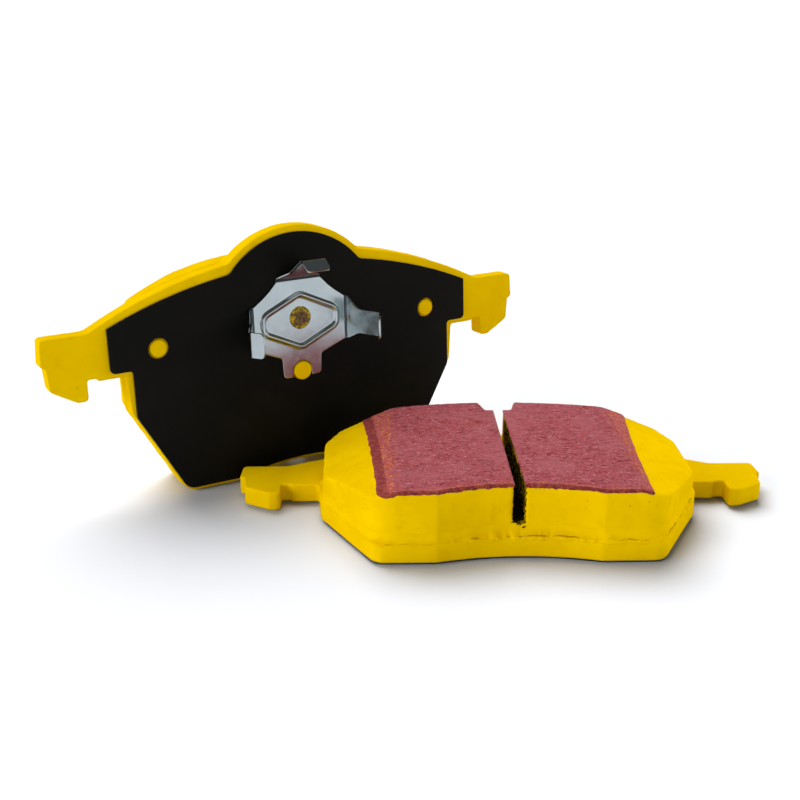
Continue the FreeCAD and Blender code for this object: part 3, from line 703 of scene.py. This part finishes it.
def backing_plate(pad):
    """Stamped plate under powder coat: soft edges, uneven sheared wall, pips and boss."""
    node = pad + "_backing_plate"
    loop = outline(node, pad, PLATE_FRONT, 0.5)
    shell = Shell()
    pips = [shell.post((side * PIP[0], PIP[1], PIP[2]), PLATE_BACK, PLATE_BACK - PIP_RISE, 0.3, 0.05)
            for side in (-1, 1)]
    if pad == "inboard":
        pips.append(shell.post(BOSS, PLATE_BACK, -SHEET - BOSS_RISE, 0.4, 0.08))

    def wall(plan, height):
        points = np.column_stack([plan, np.full(len(plan), height)])
        return grains(points, 1, (0.05, 7.0), (0.03, (1.4, 1.4, 4.0)))

    shell.slab(loop, PLATE_BACK, PLATE_FRONT, PLATE_EDGE_BACK, PLATE_EDGE_FRONT, 5, bumps=wall,
               low_holes=pips)
    shell.piece(node, "_painted", PLATE_PAINT, "yellow_powder_coat", pad)


def shim(pad):
    """Rubber skin, cut back a little from the CAD's own steel core and adhesive film."""
    node = pad + "_shim_rubber"
    loops = face_loops(node, pad, 0.0)
    outer = resample(anticlockwise(loops[0]), 0.5)
    outer = outer - outward(outer) * SKIN_INSET
    shell = Shell()
    bores = []
    for hole in loops[1:]:
        middle = hole.mean(0)
        radius = float(np.linalg.norm(hole - middle, axis=1).mean())
        bores.append(shell.bore((*middle, radius), 0.0, SKIN))
    shell.slab(outer, 0.0, SKIN, 0.2, 0.01, 1, low_holes=[b[0] for b in bores],
               high_holes=[b[1] for b in bores])
    shell.piece(node, "_skin", BLACK_RUBBER, "black_shim_rubber", pad)
    for part, finish in (("core", SHIM_STEEL), ("adhesive", FILM)):
        for slot in frame["nodes"]["%s_shim_%s" % (pad, part)].material_slots:
            slot.material = finish


def block_relief(points, seed):
    """How far the moulded block stands out from its plain shape."""
    return grains(points, seed, (0.10, 9.0), (0.05, 3.0), (0.022, 1.2))


def seam_height(loop, hugging, seed):
    """Height of the moulding line: sloping and uneven where the layer hugs the plate."""
    waves = grains(loop, seed, (0.45, 8.0), (0.38, 1.9)) + 0.20 * grain(loop, 0.8, seed + 9)
    return SEAM_LEVEL + (SEAM_TILT * loop[:, 0] + waves) * hugging


def squeezed_out(loop, gap, hugging, spill, seed):
    """How far the layer stands out: to the plate's edge, or a free bead where that is far."""
    lumps = spill * (0.30 * grain(loop, 2.3, seed + 2) + 0.26 * grain(loop, 0.9, seed + 6))
    free = 0.55 + grains(loop, seed + 3, (0.22, 5.0), (0.12, 1.6))
    return free + (np.minimum(gap, HUG_FAR) + 0.10 + lumps - free) * hugging


def crack_depth(loop, spill, seed):
    """Depth of the broken crack along the moulding line, none towards the crown."""
    ragged = grains(loop, seed + 7, (1.0, 5.0), (0.6, 1.1))
    return CRACK_DEPTH * smooth(ragged, -0.20, 0.55) * spill * (1 - smooth(loop[:, 1], 40, 50))


def underlayer(pad):
    """Bonding layer: squeezed out under the block, and over the plate's edge where that is near."""
    node = pad + "_underlayer"
    loop = outline(node, pad, BLOCK_LOW, 0.28)
    normal = outward(loop, 10)
    seed, spill = LAYER_SEED[pad], SPILL[pad]
    gap = nearest(loop, outline(pad + "_backing_plate", pad, PLATE_FRONT, 0.3))
    hugging = 1 - smooth(gap, HUG_NEAR, HUG_FAR)
    reach = squeezed_out(loop, gap, hugging, spill, seed)
    seam = seam_height(loop, hugging, seed)
    depth = crack_depth(loop, spill, seed)
    root, top = PLATE_FRONT - 0.02, seam + 1.3
    foot = root + (np.minimum(PLATE_FRONT - PLATE_EDGE_FRONT, seam - 0.2) - root) * hugging
    shell = Shell()

    def ring(out, height):
        plan = loop + normal * np.reshape(out, (-1, 1))
        if pad == "inboard":
            plan[:, 1] = np.maximum(plan[:, 1], 0.0)  # the pad stands on this edge
        return shell.ring(plan, height)

    def block_wall(height):
        return block_relief(np.column_stack([loop, height]), BLOCK_SEED[pad])

    profile = ((reach - 0.10, foot), (reach, foot + 0.10), (reach + 0.02, (foot + seam) / 2),
               (reach - 0.02, seam - 0.06), (reach * 0.72 - depth, seam + 0.06),
               (reach * 0.62, seam + 0.22), (reach * 0.36, seam + 0.55),
               (0.13 + block_wall(top), top), (0.03 + block_wall(top + 1.6), top + 1.6))
    rings = [shell.ring(loop - normal * 0.5, root)]
    rings += [ring(out, height) for out, height in profile]
    rings.append(shell.ring(loop - normal * 0.3, top + 1.7))
    shell.wall(rings)
    shell.cap([rings[0]], FLAT_SPACING, up=False)
    shell.cap([rings[-1]], FLAT_SPACING)
    made = shell.piece(node, "_bead", LIP_PAINT, "painted_underlayer", pad, sharp=60)
    # how dark the crack's painted shade is: more where the crack is deeper
    crack_shading = np.zeros(len(shell.points))
    crack_shading[rings[GROOVE]] = np.clip(depth / CRACK_DARK, 0, 1)
    marked(made, "crack_shading", crack_shading)


def friction_block(pad):
    """Moulded block under paint: soft edges, gentle hollows, crumbly slot."""
    node = pad + "_friction_block"
    mesh = remeshed(node, pad, 0.5, 5)
    seed = BLOCK_SEED[pad]

    def relief(points):
        in_slot = smooth(np.abs(points[:, 0]), SLOT_HALF + 0.9, SLOT_HALF + 0.2)
        low = smooth(points[:, 2], 15.0, 10.2)
        crumble = grains(points, seed + 3, (0.30, 0.9), (0.15, 0.5))
        return block_relief(points, seed) + in_slot * low * crumble

    move_out(mesh, relief)
    finished(node, "_moulded", mesh, BLOCK_PAINT, "painted_friction", pad, sharp=50)


def block_top(x):
    """Height of the block's friction face, flat between its two end ramps."""
    slope = RAMP_DROP / (RAMP_END - RAMP_START)
    past = np.abs(x) - RAMP_START
    eased = 0.5 * (past + np.sqrt(past ** 2 + 0.8))
    return BLOCK_TOP - slope * eased


def block_near(x):
    """The block's lower edge in plan: shallow arch between two feet with round ends."""
    x = np.abs(x)
    radius = (ARCH_HALF ** 2 + ARCH_RISE ** 2) / (2 * ARCH_RISE)
    arch = BLOCK_FOOT + ARCH_RISE - radius + np.sqrt(radius ** 2 - np.minimum(x, ARCH_HALF) ** 2)
    start, bend = FOOT_CORNER
    corner = BLOCK_FOOT + bend - np.sqrt(bend ** 2 - np.clip(x - start, 0, 0.9 * bend) ** 2)
    return np.where(x < ARCH_HALF, arch, corner)


def block_far(x):
    """The block's upper edge in plan, with the notch at the slot's head."""
    arc = BLOCK_ARC[0] + np.sqrt(BLOCK_ARC[1] ** 2 - x ** 2)
    share = smooth(np.abs(x), NOTCH[0] - 0.1, NOTCH[1] + 0.1)
    return NOTCH[2] + (arc - NOTCH[2]) * share


def coat_end(side, seed):
    """Where a coat's outer end lies in each row: slanted, torn, rounded at its near corner."""
    near_end, far_end = COAT_END[side]
    share = np.linspace(0, 1, COAT_ROWS)
    line = np.column_stack([np.zeros(COAT_ROWS), COAT_DEPTH * share])
    torn = grains(line, seed, (0.30, 2.4), (0.20, 0.8))
    corner = COAT_CORNER[side]
    turn = np.clip(1 - COAT_DEPTH * share / (1.4 * corner), 0, 1)
    return near_end + (far_end - near_end) * share ** 1.7 + torn - corner * (1 - np.sqrt(1 - turn ** 2))


class Coat:
    """A grid over half the friction face, with each point's distances to the coat's edges."""

    def __init__(self, side, seed):
        self.seed = seed
        self.sign = -1 if side == "left" else 1
        u, v = np.meshgrid(np.linspace(0, 1, COAT_COLUMNS), np.linspace(0, 1, COAT_ROWS))
        end = coat_end(side, seed)[:, None]
        x = COAT_START + (end - COAT_START) * u
        flat = np.column_stack([x.ravel(), np.zeros(x.size)])
        low = block_near(x) + 0.12 + (0.12 * grain(flat, 1.6, seed + 2)).reshape(x.shape)
        high = block_far(x) - 0.45 + (0.08 * grain(flat, 1.6, seed + 3)).reshape(x.shape)
        y = low + (high - low) * v
        self.plan = np.column_stack([x.ravel() * self.sign, y.ravel()])
        self.from_end, self.from_near = (end - x).ravel(), (y - low).ravel()
        self.from_edge = np.minimum(np.minimum(self.from_end, (x - COAT_START).ravel()),
                                    np.minimum(self.from_near, (high - y).ravel()))
        self.ragged = grains(self.plan, seed + 11, (0.45, 1.8), (0.3, 0.7))
        self.past_ramp = np.abs(self.plan[:, 0]) - RAMP_START
        self.crumbly = smooth(self.past_ramp + self.ragged, 0.7, 1.6)
        # a band along the left coat's end: set a little lower in top(), and darkened as painted shade in
        # marks()
        self.band = np.zeros(len(self.plan))
        if side == "left":
            self.band = 1 - smooth(self.from_end + self.ragged * 0.5, 2.4, 2.9)

    def top(self):
        """Height of the coat's face: fibrous, crumbly on the ramp, falling at its edges."""
        plan, seed = self.plan, self.seed
        fall = (1 - smooth(self.from_edge, -0.05, 0.5)) * (0.26 - 0.18 * smooth(self.from_near, 1.0, 0.2))
        relief = grains(plan, seed + 4, (0.06, (2.4, 0.7, 1.0)), (0.05, (1.1, 0.45, 1.0)), (0.030, 0.6))
        crumbs = grains(plan, seed + 7, (0.10, 1.3), (0.07, 0.6))
        relief += self.crumbly * (1 - self.band) * crumbs - 0.12 * self.band
        return block_top(plan[:, 0]) + COAT + relief - fall

    def faces(self):
        """Quads of the grid, facing away from the block."""
        wide = COAT_COLUMNS
        for first in (row * wide + column for row in range(COAT_ROWS - 1) for column in range(wide - 1)):
            face = (first, first + 1, first + 1 + wide, first + wide)
            yield face if self.sign > 0 else face[::-1]

    def rim(self):
        """The grid's outermost points in order, anticlockwise in plan."""
        index = np.arange(COAT_ROWS * COAT_COLUMNS).reshape(COAT_ROWS, COAT_COLUMNS)
        ring = [*index[0], *index[1:, -1], *index[-1, -2::-1], *index[-2:0:-1, 0]]
        return [int(i) for i in ring[::self.sign]]

    def skirt(self, shell, ring, top):
        """The coat's edge: down over the block's, furthest at the near one, and in under the coat."""
        loop, seed = self.plan[ring], self.seed
        normal = outward(loop, 3)
        near = smooth(self.from_near[ring], 0.4, 0.0)
        far = smooth(loop[:, 1], 50.0, 54.0)
        hang = 0.20 + grains(loop, seed + 9, (0.14, 1.9), (0.12, 0.7))
        hang += near * (0.20 + grains(loop, seed + 13, (0.30, 1.3), (0.24, 0.55)))
        hang = np.clip(hang * (1 - far), 0.05, 1.5)
        base = block_top(loop[:, 0])
        rings = [ring]
        for out, share in ((0.09, 0.20), (0.12, 0.55), (0.05, 1.0)):
            rings.append(shell.ring(loop + normal * out, top[ring] + (base - hang - top[ring]) * share))
        rings.append(shell.ring(loop - normal * 0.45, base - np.maximum(hang, 0.35)))
        shell.wall(rings[::-1])
        shell.cap([rings[-1]], 2.5, up=False, height=lambda p: block_top(p[:, 0]) - 0.4)
        return rings[1:]

    def marks(self):
        """For the material: how much each point is darkened as painted shade along the coat's edges, and
        how worn it is.
        """
        lip = 1 - smooth(self.from_near + 0.3 * self.ragged, 0.45, 0.85)
        ridge = smooth(np.abs(self.past_ramp + 0.5 * self.ragged), 0.7, 0.1)
        fringe = smooth(self.from_near + 0.6 * self.ragged, 2.2, 1.0)
        worn = np.maximum(np.maximum(self.crumbly, 0.4 * ridge), fringe)
        return np.maximum(0.75 * self.band, 0.9 * lip), worn * (1 - self.band) * (1 - 0.6 * lip)


def bedding_coat(pad, side):
    """Abrasive coat on half the face: fibrous top, ragged end, lip over the near edge."""
    coat = Coat(side, COAT_SEED[pad] + (0 if side == "left" else 10))
    top = coat.top()
    shell = Shell()
    shell.points = [(x, y, z) for (x, y), z in zip(coat.plan, top)]
    shell.faces = list(coat.faces())
    skirt = coat.skirt(shell, coat.rim(), top)
    node = "%s_bedding_coat_%s" % (pad, side)
    made = shell.piece(node, "_fibrous", RED_COAT, "red_bedding_coat", pad)
    edge, worn = np.zeros(len(shell.points)), np.zeros(len(shell.points))
    edge[:len(top)], worn[:len(top)] = coat.marks()
    # the skirt down over the block's edge is darkened all over as painted shade
    for ring in skirt:
        edge[ring] = 0.92
    marked(made, "edge", edge)
    marked(made, "worn", worn)


for pad in PADS:
    backing_plate(pad)
    shim(pad)
    underlayer(pad)
    friction_block(pad)
    for side in ("left", "right"):
        bedding_coat(pad, side)


# ---------------- the piston clip

def bead_crest():
    """Closed line of the bead's crest: a rhombus with cut-off ends and rounded corners."""
    middle, wide, tall, end = BEAD
    corners = [(wide, -end), (wide, end), (0.0, tall), (-wide, end), (-wide, -end), (0.0, -tall)]
    corners = np.array(corners) + (0.0, middle)
    line = []
    for before, corner, after in zip(np.roll(corners, 1, 0), corners, np.roll(corners, -1, 0)):
        come = (corner - before) / np.linalg.norm(corner - before)
        leave = (after - corner) / np.linalg.norm(after - corner)
        turn = math.acos(float(come @ leave))
        cut = BEAD_ROUND * math.tan(turn / 2)
        start = corner - come * cut
        side = np.array([-come[1], come[0]])
        for t in np.linspace(0, turn, 16):
            line.append(start + come * BEAD_ROUND * math.sin(t) + side * BEAD_ROUND * (1 - math.cos(t)))
    return resample(np.array(line), 0.15)


def clip_base():
    """Flat stamping with its stiffening bead pressed up and its cut edges rounded."""
    node = "piston_clip_base"
    loops = face_loops(node, "inboard", 0.0)
    outer = resample(anticlockwise(loops[0]), 0.3)
    crest = bead_crest()

    def raised(points):
        return BEAD_RISE * smooth(nearest(points, crest), 1.05, 0.15)

    shell = Shell()
    bore = shell.bore((RIVET[0], RIVET[1], RIVET_BORE), 0.0, -SHEET)
    normal = outward(outer, 1)
    rounded = ((0.14, 0.0), (0.04, 0.04), (0.0, 0.14), (0.0, SHEET / 2), (0.0, SHEET - 0.14),
               (0.04, SHEET - 0.04), (0.14, SHEET))
    rings = [shell.ring(outer - normal * inset, -deep) for inset, deep in rounded]
    shell.wall(rings[::-1])
    shell.cap([rings[0], bore[0]], BEAD_SPACING, height=lambda p: -raised(p))
    shell.cap([rings[-1], bore[1]], BEAD_SPACING, up=False, height=lambda p: -SHEET - raised(p))
    shell.piece(node, "_pressed", ZINC, ZINC_SLOT, "inboard")


def finger_path(root, reach):
    """Middle line of a finger in its own profile, as (run, rise, heading) points."""
    run, rise = reach - root, GRIP_HEIGHT - SHEET / 2
    lean = math.atan2(rise, run)
    for _ in range(20):  # settles on the lean that brings the grip to its height
        used = (BEND * math.sin(lean), BEND * (1 - math.cos(lean)))
        lean = math.atan2(rise - used[1], run - used[0])
    blade = math.hypot(run - used[0], rise - used[1])
    lead = math.atan2(LEAD_HEIGHT, -LEAD_BACK)
    cut = GRIP_BEND * math.tan((lead - lean) / 2)
    steps = [(0.12, 0.0, 2), (BEND * lean, lean, 12), (blade - cut, 0.0, 24),
             (GRIP_BEND * (lead - lean), lead - lean, 12),
             (math.hypot(LEAD_HEIGHT, LEAD_BACK) - cut, 0.0, 12)]
    at, heading = np.array([root - 0.12, SHEET / 2]), 0.0
    path = [(*at, heading)]
    for length, turn, count in steps:
        for _ in range(count):
            heading += turn / count / 2
            at = at + length / count * np.array([math.cos(heading), math.sin(heading)])
            heading += turn / count / 2
            path.append((*at, heading))
    return path


def finger_edges(run, total, edges):
    """A finger's low and high edge at a run: waisted past the root, rounded at the tip."""
    share = smooth(run, 0.6, 6.4)
    low = edges[0] * (1 - share) - LOW_TIP * share
    high = edges[1] * (1 - share ** 0.8) + HIGH_TIP * share ** 0.8
    past = TIP_ROUND - min(total - run, TIP_ROUND)
    corner = TIP_ROUND - math.sqrt(max(0.0, TIP_ROUND ** 2 - past ** 2))
    return low + corner, high - corner


def finger_section(heading, low, high, thick):
    """Points round a finger's cross-section, with a shallow vee along each cut edge."""
    insets = EDGE_VEE * (1 - np.sin(np.linspace(0, math.pi / 2, 4)))
    points = []
    for face in (1, -1):
        ends = ((low, 1), (high, -1))[::face]
        for (edge, inward), steps in zip(ends, (insets, insets[::-1])):
            for inset in steps:
                up = face * (thick - inset)
                points.append((-math.sin(heading) * up, math.cos(heading) * up, edge + inward * inset))
    return points


def finger(side, root, reach, edges, axes):
    """A sprung finger: strip swept along its path, scored at its root, thinner at its tip."""
    path = finger_path(root, reach)
    runs = np.concatenate([[0], np.cumsum([math.dist(a[:2], b[:2]) for a, b in zip(path, path[1:])])])
    total = runs[-1]
    shell = Shell()
    rings = []
    for (along, rise, heading), run in zip(path, runs):
        low, high = finger_edges(run, total, edges)
        thick = SHEET / 2 - 0.26 * smooth(abs(run - SCORE), 0.55, 0.15)
        if total - run < TIP_THIN:
            thick = SHEET / 2 - 0.12 * (1 - (total - run) / TIP_THIN)
        section = finger_section(heading, low, high, thick)
        rings.append(shell.loop([axes(along + a, rise + b, wide) for a, b, wide in section]))
    shell.wall(rings)
    shell.faces.append(tuple(rings[0][::-1]))
    shell.faces.append(tuple(rings[-1]))
    node = "piston_clip_finger_" + side
    place = PLACES["inboard"]
    start, end = (place @ (Vector(axes(root + run, SHEET / 2, 0.0)) * MM) for run in ROOT_BLEND)
    made = shell.piece(node, "_sprung", ZINC, ZINC_SLOT, "inboard", sharp=50,
                       body="clip_finger_" + side, blend=(start, end))
    # where the material paints the dark reflection at the finger's scored root
    marked(made, "root_dark_reflection", np.repeat(smooth(np.abs(runs - SCORE), 0.62, 0.34), len(rings[0])))


def clip_fingers():
    """Three fingers: left and right of the piston's axis, and one towards the crown."""
    for side, sign in (("left", 1), ("right", -1)):
        finger(side, SIDE_ROOT, SIDE_REACH, SIDE_EDGES,
               lambda run, rise, wide, sign=sign: (sign * run, CLIP_Y + wide, -rise))
    finger("top", TOP_ROOT, TOP_REACH, TOP_EDGES, lambda run, rise, wide: (wide, run, -rise))


def clip_rivet():
    """Rivet that holds the clip: domed head with a rough struck centre, shank and tail."""
    x, y, rise = RIVET
    crown = -SHEET - rise
    head = [(0.25, crown + 0.30), (0.8, crown + 0.22), (1.3, crown + 0.02), (1.8, crown + 0.02),
            (2.4, -SHEET - rise * 0.80), (2.95, -SHEET - rise * 0.52), (3.3, -SHEET - rise * 0.26),
            (3.48, -SHEET - 0.10), (3.44, -SHEET - 0.01)]
    shank = [(RIVET_SHANK, -SHEET + 0.02), (RIVET_SHANK, 5.4)]
    tail = [(3.15, 5.4), (3.2, 5.5), (3.15, 6.28), (1.5, PLATE_FRONT)]
    shell = Shell()
    rings = []
    for radius, z in head + shank + tail:
        plan = circle(x, y, radius, 56)
        struck = smooth(radius, 2.6, 0.6) if z < -SHEET else 0.0
        points = np.column_stack([plan, np.full(len(plan), z)])
        bumpy = grains(points, 80, (0.06 * (z < -SHEET - 0.1), 0.9), (0.16 * struck, 0.6))
        rings.append(shell.ring(plan, z + bumpy))
    shell.wall(rings)
    shell.cap([rings[0]], 0.2, up=False)
    shell.cap([rings[-1]], 3.0)
    node = "piston_clip_rivet"
    made = shell.piece(node, "_set", RIVET_FINISH, "yellow_passivated_rivet", "inboard")
    points = np.array(shell.points)
    reach = np.hypot(points[:, 0] - x, points[:, 1] - y)
    marked(made, "struck", smooth(reach, 3.0, 1.5) * (points[:, 2] < -SHEET))


clip_base()
clip_fingers()
clip_rivet()


# ---------------- stage

FLOOR_HALF, FLOOR_DROP = 9.0, 0.0002
FLOOR_GREY = (0.58, 0.592, 0.622, 1)


def floor():
    """Plain pale floor just under the part."""
    mesh = bpy.data.meshes.new("floor")
    corners = [(x * FLOOR_HALF, y * FLOOR_HALF, 0) for x, y in ((-1, -1), (1, -1), (1, 1), (-1, 1))]
    mesh.from_pydata(corners, [], [(0, 1, 2, 3)])
    n = Nodes("FloorWhite", Roughness=0.9, Specular_IOR_Level=0.0, Base_Color=FLOOR_GREY)
    mesh.materials.append(n.material)
    made = placed("floor", mesh)
    made.location.z = cad_box[0].z - FLOOR_DROP
    return made


def sun(name, strength, azimuth, elevation, spread):
    """A wide far lamp; azimuth from the front towards the right, all angles in degrees."""
    data = bpy.data.lights.new(name, "SUN")
    data.energy = strength
    data.angle = math.radians(spread)
    made = placed(name, data)
    round_z, up = math.radians(azimuth), math.radians(elevation)
    source = Vector((math.sin(round_z) * math.cos(up), -math.cos(round_z) * math.cos(up), math.sin(up)))
    made.rotation_euler = (-source).to_track_quat("-Z", "Y").to_euler()
    made.visible_glossy = False
    return made


def aim(lamp, ground, state):
    """Lets a lamp light the ground alone (INCLUDE), or all but the ground (EXCLUDE)."""
    choice = bpy.data.collections.new(lamp.name + "_choice")
    choice.objects.link(ground)
    lamp.light_linking.receiver_collection = choice
    choice.collection_objects[0].light_linking.link_state = state


def surroundings():
    """White walls round the stage that darken towards the ceiling, mirrored in the zinc."""
    world = bpy.context.scene.world or bpy.data.worlds.new("World")
    bpy.context.scene.world = world
    world.use_nodes = True
    nodes, links = world.node_tree.nodes, world.node_tree.links
    parts = nodes.new("ShaderNodeSeparateXYZ")
    links.new(nodes.new("ShaderNodeTexCoord").outputs["Generated"], parts.inputs[0])
    fade = map_range(world.node_tree, parts.outputs["Z"], 0.10, 0.50, 1.15, 0.10)
    links.new(fade, nodes["Background"].inputs["Strength"])
    nodes["Background"].inputs["Color"].default_value = (1.0, 1.0, 1.0, 1.0)


def studio(ground):
    """Soft light from above and both sides, and a key that lights the ground alone."""
    surroundings()
    aim(sun("ground_key", 5.25, -154, 56, 52), ground, "INCLUDE")
    aim(sun("ceiling", 2.75, -170, 70, 64), ground, "EXCLUDE")
    aim(sun("softbox_right", 2.2, 102, 8, 40), ground, "EXCLUDE")
    sun("softbox_left", 2.25, -60, 20, 40)
    bpy.context.scene.view_settings.view_transform = "Standard"


CAMERA_PLACE = (-0.015345, -0.339105, 0.1549)
CAMERA_TILT, CAMERA_TURN, CAMERA_ROLL = 20.70, 2.08, 0.395  # down, to the right, to the left
LENS, SENSOR = 54.28, 36.0


def camera():
    """View from the front and a little above, through a short tele lens."""
    tilt, turn, roll = (math.radians(angle) for angle in (CAMERA_TILT, CAMERA_TURN, CAMERA_ROLL))
    data = bpy.data.cameras.new("camera")
    data.lens = LENS
    data.sensor_width = SENSOR
    made = placed("camera", data)
    made.location = CAMERA_PLACE
    made.rotation_euler = (Matrix.Rotation(-turn, 3, "Z") @ Matrix.Rotation(math.pi / 2 - tilt, 3, "X")
                           @ Matrix.Rotation(roll, 3, "Z")).to_euler()
    bpy.context.scene.camera = made


studio(floor())
camera()
